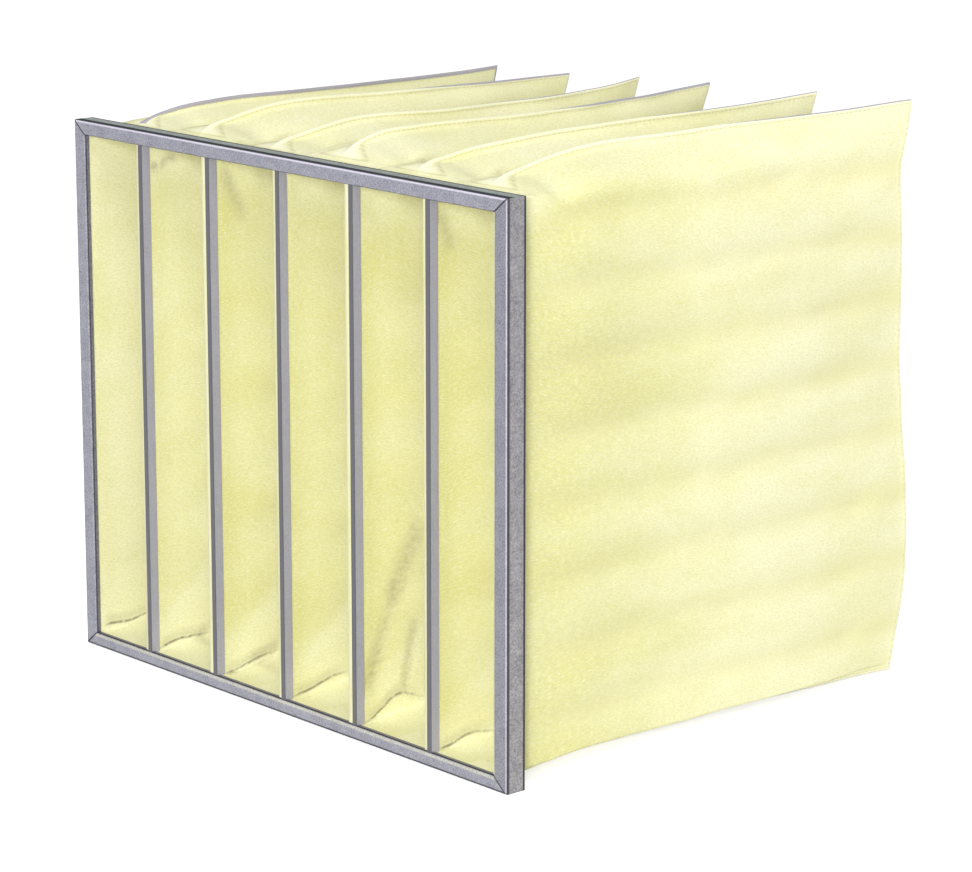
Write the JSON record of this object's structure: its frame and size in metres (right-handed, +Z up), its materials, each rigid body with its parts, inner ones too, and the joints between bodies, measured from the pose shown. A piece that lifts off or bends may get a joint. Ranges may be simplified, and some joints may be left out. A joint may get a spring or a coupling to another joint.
{
  "type": "bag air filter",
  "caption": "Multi-pocket bag air filter: a galvanised channel header frame with divider clips that holds tapering, quilted filter pockets, open at the front and closed at the rear.",
  "frame": {"origin": "middle of the part's base: centred on the header across, on the whole length along, at the header's underside", "axes": "+X to the right along the header's width, seen from the front; +Y along the airflow, from the open mouths to the pocket tips; +Z up"},
  "size_m": [0.592, 0.5, 0.523],
  "materials": {
    "header_steel": "mottled galvanised sheet with a faint lavender cast",
    "inner_steel": "plain galvanised strip",
    "clip_steel": "darker plain galvanised strip",
    "filter_media": "matt, finely fuzzy pale yellow nonwoven media, quilted"
  },
  "bodies": {
    "root": {"top_rail": "header_steel", "bottom_rail": "header_steel", "left_stile": "header_steel", "right_stile": "header_steel", "retainer_top": "inner_steel", "retainer_bottom": "inner_steel", "retainer_left": "inner_steel", "retainer_right": "inner_steel", "corner_plate_upper_left": "inner_steel", "corner_plate_upper_right": "inner_steel", "corner_plate_lower_left": "inner_steel", "corner_plate_lower_right": "inner_steel", "divider_clip_1": "clip_steel", "divider_clip_2": "clip_steel", "divider_clip_3": "clip_steel", "divider_clip_4": "clip_steel", "divider_clip_5": "clip_steel", "pocket_1": "filter_media", "pocket_2": "filter_media", "pocket_3": "filter_media", "pocket_4": "filter_media", "pocket_5": "filter_media", "pocket_6": "filter_media"}
  },
  "joints": []
}
